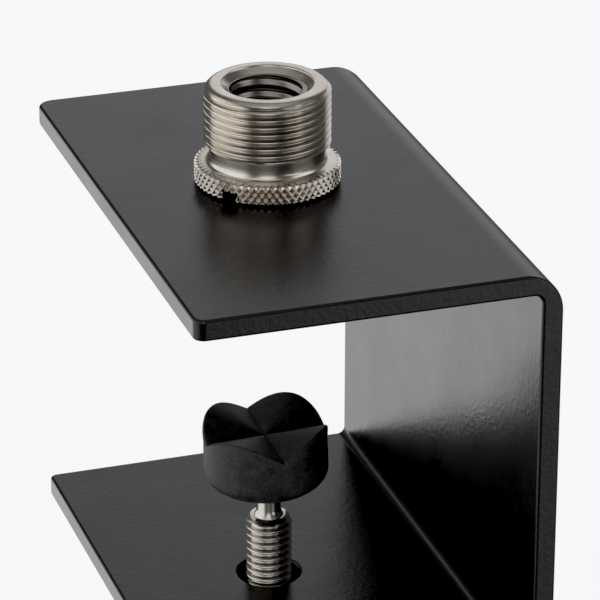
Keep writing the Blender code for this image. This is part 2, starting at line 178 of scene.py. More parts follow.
# Studio. A glow is the direction it comes from, its inner and outer angle in degrees, and its strength
FLOOR_DROP = 0.02
FLOOR_SIZE = 8
FLOOR_GREY = (0.20, 0.20, 0.20, 1)
FLOOR_GLOW = (0.976, 0.984, 1.0, 1)
FLOOR_STRENGTH = 0.86
SKY_COLOUR = (0.975, 0.985, 1.0, 1)
BLACK_POINT = 0.008
AMBIENT = 0.12
GLOWS = [
    ((-0.38, 0.81, -0.43), 9, 24, 1.48),
    ((0.42, 0.84, 0.33), 12, 29, 0.69),
    ((-0.96, 0.18, 0.02), 34, 56, 0.95),
    ((0.53, -0.85, -0.25), 8, 24, 1.08),
    ((0.78, -0.50, 0.38), 12, 30, 0.95),
    ((0.76, 0.50, -0.42), 8, 22, 0.80),
    ((-0.40, -0.82, 0.78), 14, 36, 0.60),
    ((-0.29, -0.86, 0.12), 6, 22, 0.74),
    ((0.00, 0.00, 1.00), 15, 45, 0.24),
]

# Mesh
SWEEP = 2 * math.pi
QUARTER = math.pi / 2
WELD = 2e-6
TINY = 1e-6
BIG_FACE = 1e-4
UP = Vector((0, 0, 1))


# ---------------------------------------------------------------- mesh helpers


def add_mesh(name, verts, faces):
    mesh = bpy.data.meshes.new(name)
    mesh.from_pydata([tuple(v) for v in verts], [], faces)
    mesh.validate()
    piece = bpy.data.objects.new(name, mesh)
    bpy.context.scene.collection.objects.link(piece)
    return piece


def finish_mesh(piece, sharp=35):
    """Welds doubled points, faces outwards, and shades smooth but for its sharp edges."""
    mesh = bmesh.new()
    mesh.from_mesh(piece.data)
    bmesh.ops.remove_doubles(mesh, verts=mesh.verts, dist=WELD)
    bmesh.ops.dissolve_degenerate(mesh, dist=TINY, edges=mesh.edges)
    bmesh.ops.holes_fill(mesh, edges=[e for e in mesh.edges if e.is_boundary], sides=8)
    bmesh.ops.recalc_face_normals(mesh, faces=mesh.faces)
    mesh.to_mesh(piece.data)
    mesh.free()
    piece.data.shade_smooth()
    piece.data.set_sharp_from_angle(angle=math.radians(sharp))
    return piece


def bake(piece):
    """Applies the piece's modifiers to its mesh."""
    depsgraph = bpy.context.evaluated_depsgraph_get()
    mesh = bpy.data.meshes.new_from_object(piece.evaluated_get(depsgraph))
    piece.modifiers.clear()
    piece.data = mesh
    return piece


def cut(piece, cutter):
    """Takes the cutter's shape out of the piece, and removes the cutter."""
    modifier = piece.modifiers.new("cut", "BOOLEAN")
    modifier.operation = "DIFFERENCE"
    modifier.solver = "EXACT"
    modifier.object = cutter
    bake(piece)
    bpy.data.objects.remove(cutter, do_unlink=True)


def soften(piece, width, segments=4, angle=40):
    """Rounds the sharp edges; the big flat faces keep a flat shade."""
    modifier = piece.modifiers.new("soften", "BEVEL")
    modifier.width = width
    modifier.segments = segments
    modifier.limit_method = "ANGLE"
    modifier.angle_limit = math.radians(angle)
    bake(piece)
    data = piece.data
    data.shade_smooth()
    flat = {}
    for face in data.polygons:
        if face.area > BIG_FACE:
            for vertex in face.vertices:
                flat[vertex] = face.normal.copy()
    normals = [n.vector.copy() for n in data.corner_normals]
    for loop in data.loops:
        if loop.vertex_index in flat:
            normals[loop.index] = flat[loop.vertex_index]
    data.normals_split_custom_set(normals)
    return piece


def arc(centre, radius, start, end, steps=14):
    """Points of an arc in a plane, from the start angle to the end angle."""
    angles = [start + (end - start) * i / steps for i in range(steps + 1)]
    return [(centre[0] + radius * math.cos(a), centre[1] + radius * math.sin(a)) for a in angles]


def bent_sheet(route, outer_radius, turn, thickness, outside=0.0, hollow=None):
    """Outer and inner line of a sheet whose outer face follows the route; its bends turn the same way.

    With outside above zero both lines move out by that much. A hollow radius makes the inside of the
    bends tighter than the sheet's thickness would.
    """
    points = [Vector(p) for p in route]
    runs = [(b - a).normalized() for a, b in zip(points, points[1:])]
    inward = [Vector((-run.y, run.x)) * turn for run in runs]
    outer = [points[0] - inward[0] * outside]
    inner = [points[0] + inward[0] * (thickness + outside)]
    virtual = outer_radius if hollow is None else thickness + hollow
    for corner, run, follow, side in zip(points[1:], runs, runs[1:], inward):
        bend = turn * run.angle(follow)
        start = math.atan2(-side.y, -side.x)
        slope = math.tan(abs(bend) / 2)
        centre = corner - run * outer_radius * slope + side * outer_radius
        outer += arc(centre, outer_radius + outside, start, start + bend)
        centre = corner - run * virtual * slope + side * virtual
        inner += arc(centre, virtual - thickness - outside, start, start + bend)
    end = points[-1] + runs[-1] * outside
    outer.append(end - inward[-1] * outside)
    inner.append(end + inward[-1] * (thickness + outside))
    return [tuple(p) for p in outer], [tuple(p) for p in inner]


def extruded(name, outline, low, high):
    """Solid with its outline in XZ, running from low to high along Y."""
    count = len(outline)
    verts = [(x, low, z) for x, z in outline] + [(x, high, z) for x, z in outline]
    faces = [tuple(range(count)), tuple(reversed(range(count, 2 * count)))]
    for i in range(count):
        j = (i + 1) % count
        faces.append((j, i, i + count, j + count))
    return finish_mesh(add_mesh(name, verts, faces))


def round_corners(piece, direction, wanted, radius, segments=10):
    """Rounds the edges along a direction whose middle passes the wanted test."""
    mesh = bmesh.new()
    mesh.from_mesh(piece.data)
    chosen = []
    for edge in mesh.edges:
        run = (edge.verts[0].co - edge.verts[1].co).normalized()
        if abs(run.dot(direction)) > 0.999 and wanted((edge.verts[0].co + edge.verts[1].co) / 2):
            chosen.append(edge)
    bmesh.ops.bevel(mesh, geom=chosen, offset=radius, segments=segments, profile=0.5, affect="EDGES")
    mesh.to_mesh(piece.data)
    mesh.free()


def revolve(name, blocks, steps, closed=False, sharp=35):
    """Mesh of rows swept about Z. A row is a radius and a height, each a number or an array.

    A block is its rows and a shift. After a full sweep, a block's row meets the row that is shift
    further on, which makes a thread run on.
    """
    angles = np.arange(steps) * SWEEP / steps
    radii, heights, partner = [], [], []
    for rows, shift in blocks:
        first = len(radii)
        last = first + len(rows) - 1
        for index, (radius, height) in enumerate(rows):
            radii.append(np.broadcast_to(radius, steps))
            heights.append(np.broadcast_to(height, steps))
            partner.append(min(max(first + index + shift, first), last))
    radii, heights = np.array(radii), np.array(heights)
    count = len(radii)
    verts = np.stack([radii * np.cos(angles), radii * np.sin(angles), heights], -1).reshape(-1, 3)
    faces = []
    for row in range(count if closed else count - 1):
        below = (row + 1) % count
        for step in range(steps):
            if step + 1 < steps:
                corners = (row, step), (below, step), (below, step + 1), (row, step + 1)
            else:
                corners = (row, step), (below, step), (partner[below], 0), (partner[row], 0)
            faces.append(tuple(r * steps + s for r, s in corners))
    return finish_mesh(add_mesh(name, verts, faces), sharp)


def plain(*rows):
    """Block of rows that meet themselves after a full sweep."""
    return list(rows), 0


def thread(
    major, pitch, high, low, steps,
    limit=None, inside=False, rows_per_turn=12, start=0.0, depth=None, rolled=False,
):
    """Block of rows for a right-hand thread, from high to low, or upwards when inside.

    The limit gives, for a height, the radius that the thread may not pass. A rolled thread is rounded.
    """
    phases = np.arange(rows_per_turn) / rows_per_turn
    turns = math.ceil((high - low) / pitch) + 1
    sweep = np.arange(steps) / steps
    depth = depth or THREAD_DEPTH * pitch
    rows = []
    for index in range(turns * rows_per_turn + 1):
        travel = (index // rows_per_turn + phases[index % rows_per_turn]) * pitch
        height = np.clip(high + pitch * sweep - travel, low, high)
        phase = ((high - height) / pitch + sweep + start) % 1.0
        from_crest = np.minimum(phase, 1 - phase)
        fall = np.clip((from_crest - THREAD_CREST) / THREAD_FLANK, 0, 1)
        if rolled:
            fall = 0.5 - 0.5 * np.cos(SWEEP * from_crest)
        radius = major - depth * (fall if not inside else 1 - fall)
        if limit is not None:
            bound = limit(height)
            radius = np.maximum(radius, bound) if inside else np.minimum(radius, bound)
        rows.append((radius, height))
    if inside:
        return rows[::-1], rows_per_turn
    return rows, -rows_per_turn


def hexagon_radius(flats, steps):
    """Radius of a hexagon at each step round it, from its width across flats."""
    angles = np.arange(steps) * SWEEP / steps
    return flats / 2 / np.cos((angles % (SWEEP / 6)) - SWEEP / 12)


def hex_rows(flats, high, low, steps, chamfer_top=True):
    """Rows down the outside of a hexagon whose corners are taken off by a 30 degree cone."""
    radius = hexagon_radius(flats, steps)
    face = flats / 2 * 0.97
    slope = math.tan(math.radians(60))
    rows = []
    for height in (high, *np.linspace(high, low, 28)[1:-1], low):
        bound = face + (height - low) * slope
        if chamfer_top:
            bound = np.minimum(bound, face + (high - height) * slope)
        rows.append((np.minimum(radius, bound), height))
    return rows


def middle(node):
    """Middle of a CAD node's box."""
    low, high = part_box(node)
    return (low + high) / 2


def finish_piece(piece, material, body, nodes, at=None):
    """Places a piece, gives it its material, and hands it to the frame."""
    if at is not None:
        piece.location = at
    piece.data.materials.clear()
    piece.data.materials.append(material)
    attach(piece, body)
    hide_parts(*nodes)
    return piece


# ---------------------------------------------------------------- materials


class Nodes:
    """Short way to write a material's node tree."""

    def __init__(self, name):
        self.material = bpy.data.materials.new(name)
        self.material.use_nodes = True
        self.tree = self.material.node_tree
        self.shader = self.tree.nodes["Principled BSDF"]
        self.space = self.add("ShaderNodeTexCoord").outputs["Object"]

    def add(self, kind, values=(), links=(), **settings):
        node = self.tree.nodes.new(kind)
        for key, value in settings.items():
            setattr(node, key, value)
        for key, value in dict(values).items():
            node.inputs[key].default_value = value
        for key, source in dict(links).items():
            self.tree.links.new(source, node.inputs[key])
        return node

    def noise(self, scale, detail=2.0, rough=0.5, vector=None, dims="3D"):
        node = self.add(
            "ShaderNodeTexNoise",
            {"Scale": scale, "Detail": detail, "Roughness": rough},
            {"Vector": vector or self.space},
            noise_dimensions=dims,
        )
        return node.outputs["Fac"]

    def spread(self, value, low, high, to_low, to_high):
        node = self.add(
            "ShaderNodeMapRange",
            {"From Min": low, "From Max": high, "To Min": to_low, "To Max": to_high},
            {"Value": value},
        )
        return node.outputs["Result"]

    def colours(self, value, stops):
        node = self.add("ShaderNodeValToRGB", links={"Fac": value})
        ramp = node.color_ramp
        while len(ramp.elements) < len(stops):
            ramp.elements.new(0.5)
        for element, (place, colour) in zip(ramp.elements, stops):
            element.position = place
            element.color = (*colour, 1)
        return node.outputs["Color"]

    def maths(self, operation, first, second=None):
        node = self.add("ShaderNodeMath", operation=operation)
        for index, item in enumerate((first, second)):
            if item is None:
                continue
            if isinstance(item, (int, float)):
                node.inputs[index].default_value = item
            else:
                self.tree.links.new(item, node.inputs[index])
        return node.outputs["Value"]

    def bump(self, height, distance, strength=1.0, under=None):
        links = {"Height": height}
        if under:
            links["Normal"] = under
        node = self.add("ShaderNodeBump", {"Distance": distance, "Strength": strength}, links)
        return node.outputs["Normal"]

    def join(self, socket, source):
        self.tree.links.new(source, self.shader.inputs[socket])

    def put(self, socket, value):
        self.shader.inputs[socket].default_value = value


def powder_coat(name):
    """Satin black powder coat: slight orange peel under a fine grain."""
    n = Nodes(name)
    n.put("IOR", 1.55)
    n.put("Specular Tint", (0.955, 0.97, 1.0, 1))
    peel = n.noise(1500, 2.0, 0.55)
    grain = n.noise(9000, 3.0, 0.6)
    broad = n.noise(120, 3.0, 0.5)
    stops = [(0.3, (0.0018, 0.0018, 0.0021)), (0.75, (0.0032, 0.0032, 0.0036))]
    n.join("Base Color", n.colours(broad, stops))
    n.join("Roughness", n.spread(n.maths("ADD", broad, grain), 0.6, 1.4, 0.24, 0.33))
    normal = n.bump(peel, 0.00005, 0.6)
    n.join("Normal", n.bump(grain, 0.000004, 0.6, normal))
    return n.material


def turned_metal(name, bright, dull, rough, line_scale, line_depth, bore=None):
    """Plated metal turned on a lathe: fine lines run round the object's Z. Inside a bore its colour is
    darkened, as painted shade.
    """
    n = Nodes(name)
    n.put("Metallic", 1.0)
    parts = n.add("ShaderNodeSeparateXYZ", links={"Vector": n.space})
    flat = n.add("ShaderNodeCombineXYZ", links={"X": parts.outputs["X"], "Y": parts.outputs["Y"]})
    length = n.add("ShaderNodeVectorMath", links={0: flat.outputs["Vector"]}, operation="LENGTH")
    radius = length.outputs["Value"]
    lines = n.add("ShaderNodeCombineXYZ", links={"X": radius, "Y": parts.outputs["Z"]}).outputs["Vector"]
    fine = n.noise(line_scale, 3.0, 0.65, lines, "2D")
    coarse = n.noise(line_scale / 5, 2.0, 0.5, lines, "2D")
    cloud = n.noise(260, 4.0, 0.6)
    colour = n.colours(cloud, [(0.25, dull), (0.7, bright)])
    if bore:
        # Painted shade: the colour is scaled down inside the bore.
        shade = n.spread(radius, bore, bore + 0.0002, BORE_PAINTED_SHADE, 1.0)
        links = {0: colour, "Scale": shade}
        colour = n.add("ShaderNodeVectorMath", links=links, operation="SCALE").outputs["Vector"]
    n.join("Base Color", colour)
    n.join("Roughness", n.spread(n.maths("ADD", fine, cloud), 0.6, 1.4, rough - 0.06, rough + 0.08))
    normal = n.bump(coarse, line_depth * 2, 0.5)
    n.join("Normal", n.bump(fine, line_depth, 0.8, normal))
    return n.material


def rubber(name, dark, light, rough, grain_scale=5200):
    """Matte moulded rubber with a fine bloom of dust."""
    n = Nodes(name)
    n.put("IOR", 1.48)
    grain = n.noise(grain_scale, 4.0, 0.65)
    cloud = n.noise(700, 3.0, 0.6)
    mixed = n.maths("ADD", n.maths("MULTIPLY", cloud, 0.35), n.maths("MULTIPLY", grain, 0.65))
    n.join("Base Color", n.colours(mixed, [(0.40, dark), (0.66, light)]))
    n.join("Roughness", n.spread(cloud, 0.3, 0.7, rough - 0.05, rough + 0.06))
    normal = n.bump(n.noise(1400, 3.0, 0.55), 0.00003, 0.35)
    n.join("Normal", n.bump(grain, 0.000016, 0.8, normal))
    return n.material


def moulded_plastic(name):
    """Black plastic with the fine texture of its mould."""
    n = Nodes(name)
    n.put("IOR", 1.47)
    spark = n.noise(4200, 2.0, 0.5)
    cloud = n.noise(200, 3.0, 0.5)
    n.join("Base Color", n.colours(cloud, [(0.3, (0.012, 0.012, 0.013)), (0.75, (0.020, 0.020, 0.022))]))
    n.join("Roughness", n.spread(cloud, 0.3, 0.7, 0.42, 0.52))
    n.join("Normal", n.bump(spark, 0.00002, 0.5))
    return n.material


def zinc(name):
    """Zinc-plated steel with a faint mottle."""
    n = Nodes(name)
    n.put("Metallic", 1.0)
    cloud = n.noise(500, 4.0, 0.6)
    grain = n.noise(6000, 2.0, 0.5)
    n.join("Base Color", n.colours(cloud, [(0.3, (0.42, 0.43, 0.45)), (0.7, (0.66, 0.67, 0.69))]))
    n.join("Roughness", n.spread(cloud, 0.3, 0.7, 0.26, 0.42))
    n.join("Normal", n.bump(grain, 0.000006, 0.5))
    return n.material


PAINT = powder_coat("black_powder_coat")
# The satin nickel's colour is darkened inside the adapter's bore, as painted shade.
NICKEL = turned_metal(
    "satin_nickel", (0.73, 0.68, 0.61), (0.56, 0.51, 0.445), 0.18, 9000, 0.000006, INNER_R
)
BRIGHT_NICKEL = turned_metal(
    "bright_nickel", (0.70, 0.66, 0.60), (0.56, 0.52, 0.47), 0.20, 7000, 0.000005
)
ZINC = zinc("zinc_steel")
PAD_RUBBER = rubber("pad_rubber", (0.008, 0.008, 0.009), (0.052, 0.052, 0.056), 0.56)
JAW_RUBBER = rubber("jaw_rubber", (0.012, 0.012, 0.013), (0.026, 0.026, 0.027), 0.72, 3000)
SLEEVE_RUBBER = rubber("sleeve_rubber", (0.012, 0.012, 0.013), (0.024, 0.024, 0.025), 0.58, 4200)
PLASTIC = moulded_plastic("knob_plastic")


# ---------------------------------------------------------------- the clamp frame


def make_bracket():
    """The C-shaped sheet with its two holes, and with softly rounded edges."""
    low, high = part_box("bracket")
    route = [(low.x, high.z), (high.x, high.z), (high.x, low.z), (low.x + ARM_SETBACK, low.z)]
    outer, inner = bent_sheet(route, BEND_RADIUS, -1, SHEET, hollow=BEND_HOLLOW)
    bracket = extruded("bracket_sheet", outer + inner[::-1], low.y, high.y)
    half_way = (low.z + high.z) / 2
    end = low.x + SHEET
    round_corners(bracket, UP, lambda p: p.x < end and p.z > half_way and p.y > 0, TOP_CORNER)
    round_corners(bracket, UP, lambda p: p.x < end and p.z > half_way and p.y < 0, FRONT_CORNER, 6)
    round_corners(bracket, UP, lambda p: p.x < end and p.z < half_way, ARM_CORNER, 5)
    stud, screw = middle("threaded_stud"), middle("weld_nut")
    holes = [
        (stud, INNER_R, high.z - SHEET / 2),
        (screw, ARM_HOLE_R, low.z + SHEET / 2),
    ]
    for centre, radius, height in holes:
        bpy.ops.mesh.primitive_cylinder_add(
            vertices=96, radius=radius, depth=2 * SHEET, location=(centre.x, centre.y, height)
        )
        cut(bracket, bpy.context.object)
    soften(bracket, ARRIS, 5)
    finish_piece(bracket, PAINT, "clamp_frame", ["bracket"])


def make_jaw_pad():
    """The rubber sheet, thick enough here to meet the plate it is glued to."""
    low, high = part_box("jaw_pad")
    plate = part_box("bracket")[1].z - SHEET
    bpy.ops.mesh.primitive_cube_add(size=1)
    pad = bpy.context.object
    pad.name = "jaw_pad_sheet"
    size = Vector((high.x - low.x, high.y - low.y, plate - low.z))
    pad.data.transform(Matrix.Diagonal((*size, 1)))
    centre = ((low.x + high.x) / 2, (low.y + high.y) / 2, low.z + size.z / 2)
    pad.data.transform(Matrix.Translation(centre))
    round_corners(pad, UP, lambda p: True, JAW_PAD_CORNER)
    soften(pad, JAW_PAD_ARRIS, 2)
    finish_piece(pad, JAW_RUBBER, "clamp_frame", ["jaw_pad"])


def make_threaded_stud():
    """The stud that the adapter screws on, with its head in the top plate."""
    low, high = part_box("threaded_stud")
    at = middle("threaded_stud")
    steps = 96
    head_r, head_top = (high.x - low.x) / 2, STUD_HEAD_HEIGHT
    length = high.z - low.z
    blocks = [
        plain((0, length), (0.0012, length)),
        thread(
            INNER_R - 0.0001, INNER_PITCH, length, head_top + 0.0006, steps,
            limit=lambda z: INNER_R - STUD_TIP + (length - z),
        ),
        plain((INNER_R - 0.0011, head_top), (head_r - 0.0002, head_top), (head_r, head_top - 0.0002)),
        plain((head_r, 0.0002), (head_r - 0.0002, 0.0), (0.003, 0.0), (0.0, 0.0)),
    ]
    stud = revolve("stud_thread", blocks, steps)
    finish_piece(stud, ZINC, "clamp_frame", ["threaded_stud"], (at.x, at.y, low.z))


def make_weld_nut():
    """Hexagon nut under the lower arm, whose round pilot stands in the arm's hole."""
    at = middle("weld_nut")
    steps = 96
    height, top = WELD_NUT_HEIGHT, WELD_NUT_HEIGHT + WELD_NUT_PILOT
    blocks = [
        plain((M6_R + 0.0004, top), (WELD_NUT_PILOT_R, top), (WELD_NUT_PILOT_R, height)),
        plain(*hex_rows(WELD_NUT_FLATS, height, 0, steps, chamfer_top=False)),
        plain((M6_R + 0.0006, 0)),
        thread(M6_R + 0.00035, M6_PITCH, top - 0.0003, 0.0003, steps, inside=True, rows_per_turn=8),
    ]
    nut = revolve("weld_nut_body", blocks, steps, closed=True)
    where = (at.x, at.y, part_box("bracket")[0].z - height)
    finish_piece(nut, PAINT, "clamp_frame", ["weld_nut"], where)


# ---------------------------------------------------------------- thread adapter


def triangle_wave(value):
    """Rises from 0 to 1 and falls back over each whole number."""
    return 1 - np.abs(2 * (value % 1.0) - 1)


def knurl_radius(turn, step):
    """Rim radius at a share of a turn and a row number: slanting ridges stand around sunk diamonds."""
    one = triangle_wave(turn * KNURLS + step / KNURL_STEPS)
    other = triangle_wave(turn * KNURLS - step / KNURL_STEPS)
    return FLANGE_R - KNURL_DEPTH * np.minimum(KNURL_SLOPE * np.minimum(one, other), 1)


def poke_knurl(piece, high, low):
    """Splits the rim's faces in four about their middles, so that every diamond's edges are true."""
    mesh = bmesh.new()
    mesh.from_mesh(piece.data)
    step = (high - low) / KNURL_ROWS
    rim = FLANGE_R - 1.05 * KNURL_DEPTH
    faces = []
    for face in mesh.faces:
        heights = [v.co.z for v in face.verts]
        radii = [math.hypot(v.co.x, v.co.y) for v in face.verts]
        inside = low - TINY < min(heights) and max(heights) < high + TINY
        if inside and min(radii) > rim and max(heights) - min(heights) > step / 2:
            faces.append(face)
    for vertex in bmesh.ops.poke(mesh, faces=faces)["verts"]:
        turn = math.atan2(vertex.co.y, vertex.co.x) / SWEEP
        radius = knurl_radius(turn, (high - vertex.co.z) / step)
        scale = radius / math.hypot(vertex.co.x, vertex.co.y)
        vertex.co.x *= scale
        vertex.co.y *= scale
    mesh.to_mesh(piece.data)
    mesh.free()


def make_adapter():
    """The adapter: threaded outside and in, an undercut, and a knurled flange with a slot across it."""
    at = middle("thread_adapter")
    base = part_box("bracket")[1].z
    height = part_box("thread_adapter")[1].z - base
    steps = KNURLS * KNURL_STEPS
    turns = np.arange(steps) / steps
    mouth = height - BORE_MOUTH_DEPTH
    edge = BORE_EDGE
    rim_high, rim_low = FLANGE_HEIGHT - KNURL_TOP_EDGE, KNURL_LOW_EDGE
    rim = []
    for row in range(KNURL_ROWS + 1):
        rim.append((knurl_radius(turns, row), rim_high + (rim_low - rim_high) * row / KNURL_ROWS))
    blocks = [
        plain(
            (BORE_MOUTH_R, height - edge),
            (BORE_MOUTH_R + edge * 0.3, height - edge * 0.3),
            (BORE_MOUTH_R + edge, height),
            (ADAPTER_TOP_R - 0.00080, height),
            (ADAPTER_TOP_R - 0.00050, height - 0.00002),
            (ADAPTER_TOP_R - 0.00022, height - 0.00008),
            (ADAPTER_TOP_R - 0.00006, height - 0.00018),
        ),
        thread(
            OUTER_R, OUTER_PITCH, height - 0.00026, UNDERCUT_TOP, steps,
            limit=lambda z: np.minimum(
                ADAPTER_TOP_R - 0.00018 + (height - z) * 0.9,
                UNDERCUT_R + 0.00020 + (z - UNDERCUT_TOP) * 1.6,
            ),
            start=0.35,
        ),
        plain(
            (UNDERCUT_R, UNDERCUT_TOP - 0.0002),
            (UNDERCUT_R, FLANGE_HEIGHT + 0.00130),
            (UNDERCUT_R + 0.00003, FLANGE_HEIGHT + 0.00080),
            (UNDERCUT_R + 0.00010, FLANGE_HEIGHT + 0.00045),
            (UNDERCUT_R + 0.00022, FLANGE_HEIGHT + 0.00024),
            (UNDERCUT_R + 0.00042, FLANGE_HEIGHT + 0.00012),
            (UNDERCUT_R + 0.00070, FLANGE_HEIGHT + 0.00006),
            (FLANGE_R - KNURL_DEPTH - 0.00016, FLANGE_HEIGHT - 0.00003),
        ),
        plain(*rim),
        plain((FLANGE_R - KNURL_DEPTH - 0.00080, 0.0), (INNER_R + 0.0006, 0.0)),
        thread(
            INNER_R, INNER_PITCH, mouth, 0.0005, steps, inside=True, rows_per_turn=14,
            limit=lambda z: INNER_R - 0.0012 + (0.0012 - z), depth=INNER_DEPTH,
        ),
        plain((INNER_R + 0.00010, mouth + 0.00003), (INNER_R + 0.00018, mouth + 0.00010)),
    ]
    adapter = revolve("thread_adapter_body", blocks, steps, closed=True, sharp=38)
    poke_knurl(adapter, rim_high, rim_low)
    bpy.ops.mesh.primitive_cube_add(size=1)
    slot = bpy.context.object
    slot.data.transform(Matrix.Diagonal((3 * FLANGE_R, SLOT_WIDTH, 2 * SLOT_DEPTH, 1)))
    slot.rotation_euler = (0, 0, SLOT_ANGLE)
    bpy.context.view_layer.update()
    cut(adapter, slot)
    adapter.data.shade_smooth()
    adapter.data.set_sharp_from_angle(angle=math.radians(24))
    finish_piece(adapter, NICKEL, "adapter", ["thread_adapter"], (at.x, at.y, base))


# ---------------------------------------------------------------- clamp screw, pad and knob


def make_clamp_screw():
    """The screw: a round tip inside the pad, a plain neck, the thread, and a hexagon head in the knob."""
    low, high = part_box("clamp_screw")
    at = middle("clamp_screw")
    steps = 72
    top, neck_top, neck_low = high.z, TIP_LOW_Z - 0.0002, NECK_LOW_Z
    head = low.z + SCREW_HEAD_HEIGHT
    blocks = [
        plain((0, top), (TIP_R - 0.0003, top), (TIP_R, top - 0.0003)),
        plain((TIP_R, TIP_LOW_Z), (TIP_R - 0.0002, neck_top)),
        plain((NECK_R, neck_top), (NECK_R, neck_low + 0.0010), (NECK_R + 0.00006, neck_low + 0.0007)),
        plain((NECK_R + 0.00016, neck_low + 0.0003), (NECK_R + 0.00035, neck_low)),
        thread(
            M6_R, M6_PITCH, neck_low - 0.00005, head + 0.0010, steps,
            limit=lambda z: np.minimum(0.00235 + (neck_low - z) * 1.2, M6_R), rolled=True,
        ),
        plain((M6_R - 0.0003, head + 0.0004), (M6_R + 0.0003, head), (0.0040, head)),
        plain(*hex_rows(SCREW_HEAD_FLATS, head, low.z, steps, chamfer_top=False)),
        plain((0.0030, low.z), (0, low.z)),
    ]
    screw = revolve("clamp_screw_thread", blocks, steps)
    finish_piece(screw, BRIGHT_NICKEL, "screw", ["clamp_screw"], (at.x, at.y, 0))


def pad_top(radius, angle, outer):
    """Height above the valleys: two level valleys cross, and the rim stands highest between them."""
    lift = PAD_RISE * np.abs(np.sin(2 * angle))
    return lift * (radius / outer)


def make_pressure_pad():
    """Round rubber pad, hollow for the screw's tip and the disc under it, and tilted a little on them."""
    low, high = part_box("pressure_pad")
    at = middle("pressure_pad")
    steps = 192
    outer = (high.x - low.x) / 2
    angles = np.arange(steps) * SWEEP / steps
    valley = high.z - PAD_RISE
    rows = []
    flat_outer = outer - PAD_ROUNDING
    for share in (0, 0.02, 0.1, 0.2, 0.3, 0.4, 0.5, 0.6, 0.7, 0.8, 0.9, 0.97, 1.0):
        radius = flat_outer * share
        rows.append((radius, valley - PAD_DROP + pad_top(radius, angles, outer)))
    rim = valley + pad_top(outer, angles, outer) - PAD_DROP
    for step in (0.35, 0.7, 1.0):
        turn = step * QUARTER
        height = rim - PAD_ROUNDING * (1 - math.cos(turn))
        rows.append((flat_outer + PAD_ROUNDING * math.sin(turn), height))
    base = low.z + PAD_LIFT
    side_low = base + PAD_EDGE
    for share in (0.25, 0.5, 0.75, 1.0):
        height = rim - PAD_ROUNDING + (side_low - rim + PAD_ROUNDING) * share
        rows.append((outer - PAD_TAPER * (1 - share), height))
    for step in range(1, 9):
        turn = step / 8 * QUARTER
        rows.append((outer - PAD_EDGE_IN * (1 - math.cos(turn)), side_low - PAD_EDGE * math.sin(turn)))
    shelf, disc_low, disc_high = low.z + PAD_SHELF, low.z + PAD_DISC_LOW, low.z + PAD_DISC_HIGH
    rows += [(PAD_HOLE_R + 0.0004, base), (PAD_HOLE_R, base + 0.0003), (PAD_HOLE_R, shelf)]
    rows += [(PAD_SHELF_R, shelf), (PAD_SHELF_R, disc_low), (PAD_DISC_R, disc_low)]
    rows += [(PAD_DISC_R, disc_high), (0, disc_high)]
    pad = revolve("pressure_pad_rubber", [plain(*rows)], steps, sharp=28)
    pad.data.transform(Matrix.Translation((0, 0, -low.z)))
    pad.rotation_euler = (*PAD_LEAN, 0)
    where = (at.x - PAD_SHIFT, at.y, low.z)
    finish_piece(pad, PAD_RUBBER, "pad", ["pressure_pad"], where)


def make_knob():
    """Knob with rounded lobes, a hub above them, and the mould's seam round its side."""
    low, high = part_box("clamp_knob")
    at = middle("clamp_knob")
    steps = 240
    angles = np.arange(steps) * SWEEP / steps
    outer = (high.x - low.x) / 2
    wave = ((1 - np.cos(KNOB_LOBES * angles)) / 2) ** KNOB_LOBE_POWER
    height = high.z - low.z
    hub_r, body_top = KNOB_HUB_R, height - KNOB_HUB

    def body(radius, z, lobe):
        return radius - lobe * wave, z

    rows = [(M6_R + 0.0004, height - 0.0006), (M6_R + 0.0010, height), (hub_r - 0.0006, height)]
    rows += [(hub_r - 0.00018, height - 0.00018), (hub_r, height - 0.0006), (hub_r, body_top + 0.0006)]
    rows += [(hub_r + 0.0002, body_top + 0.0002), (hub_r + 0.0007, body_top)]
    rows += [body(outer - 0.0030, body_top, 0.0012), body(outer - 0.0022, body_top - 0.0001, 0.0019)]
    for step in range(1, 9):
        turn = step / 8 * QUARTER
        inset = KNOB_ROUNDING * (1 - math.sin(turn))
        z = body_top - 0.0001 - KNOB_ROUNDING * (1 - math.cos(turn))
        rows.append(body(outer - inset, z, KNOB_LOBE))
    for z in (0.0085, 0.0070, 0.00560, 0.00555, 0.00545, 0.00540, 0.0040, 0.0026):
        lip = 0.00006 if 0.0054 < z < 0.0056 else 0.0
        rows.append(body(outer - 0.00015 + lip - 0.0002 * abs(z - KNOB_SEAM_Z) / 0.003, z, KNOB_LOBE))
    for step in range(1, 9):
        turn = step / 8 * QUARTER
        inset = 0.0004 + KNOB_ROUNDING * (1 - math.cos(turn))
        rows.append(body(outer - inset, 0.0020 - 0.0020 * math.sin(turn), KNOB_LOBE))
    rows += [(0.0090, 0.0), (0.0078, 0.0001), (0.0074, 0.0004), (0.0072, 0.0005), (0.0072, 0.0024)]
    rows += [(0.0060, 0.0026), (0.0060, 0.0105), (M6_R + 0.0004, 0.0105)]
    knob = revolve("knob_body", [plain(*rows)], steps, closed=True, sharp=32)
    finish_piece(knob, PLASTIC, "screw", ["clamp_knob"], (at.x, at.y, low.z))


def make_knob_cap():
    """Disc that closes the knob from below."""
    low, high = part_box("knob_cap")
    at = middle("knob_cap")
    outer = (high.x - low.x) / 2 + 0.0002
    height = high.z - low.z
    rows = [(0, height), (outer, height), (outer, 0.0005)]
    rows += [(outer - 0.00012, 0.00020), (outer - 0.0004, 0.00005), (outer - 0.0012, 0.0)]
    rows += [(outer - 0.0015, 0.00012), (outer - 0.0018, 0.00030), (0.0030, 0.00045), (0, 0.00048)]
    cap = revolve("knob_cap_disc", [plain(*rows)], 96)
    finish_piece(cap, PLASTIC, "screw", ["knob_cap"], (at.x, at.y, low.z))


# ---------------------------------------------------------------- hook


def lip_normal():
    return Vector((math.cos(LIP_TILT), 0, -math.sin(LIP_TILT)))


